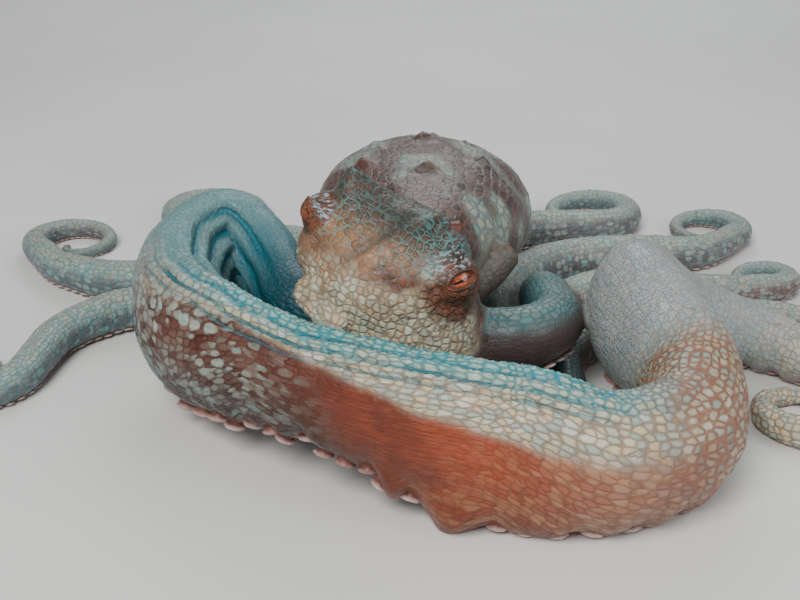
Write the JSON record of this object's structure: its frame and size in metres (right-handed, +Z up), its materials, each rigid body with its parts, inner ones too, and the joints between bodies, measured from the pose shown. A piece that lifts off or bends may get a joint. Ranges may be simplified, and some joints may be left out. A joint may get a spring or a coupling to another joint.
{
  "type": "octopus",
  "caption": "Common octopus at rest on its curled arms, head raised over a thick front arm that wraps round it, mantle lying behind.",
  "frame": {"origin": "middle of the whole spread at floor level, under the animal", "axes": "+Z up. The head looks towards -Y and a little to -X. The animal's own left side is towards +X. The mantle lies behind the head towards +Y"},
  "size_m": [0.4362, 0.3418, 0.1074],
  "materials": {
    "skin": "wet, finely cobbled skin, cream, teal and red-brown",
    "eye": "clear wet dome over an orange-brown iris with a dark slit"
  },
  "bodies": {
    "root": {"head": "skin", "mantle": "skin", "crown": "skin", "siphon": "skin", "eye_left": "eye", "eye_right": "eye", "arm_right_1_base": "skin", "arm_right_1_middle": "skin", "arm_right_1_tip": "skin", "arm_right_2_base": "skin", "arm_right_2_front": "skin", "arm_right_2_outer": "skin", "arm_right_2_tip": "skin", "arm_right_3_base": "skin", "arm_right_3_middle": "skin", "arm_right_3_tip": "skin", "arm_right_4_base": "skin", "arm_right_4_middle": "skin", "arm_right_4_tip": "skin", "arm_left_1_base": "skin", "arm_left_1_middle": "skin", "arm_left_1_tip": "skin", "arm_left_2_base": "skin", "arm_left_2_middle": "skin", "arm_left_2_tip": "skin", "arm_left_3_base": "skin", "arm_left_3_middle": "skin", "arm_left_3_tip": "skin", "arm_left_4_base": "skin", "arm_left_4_middle": "skin", "arm_left_4_tip": "skin"}
  },
  "joints": []
}
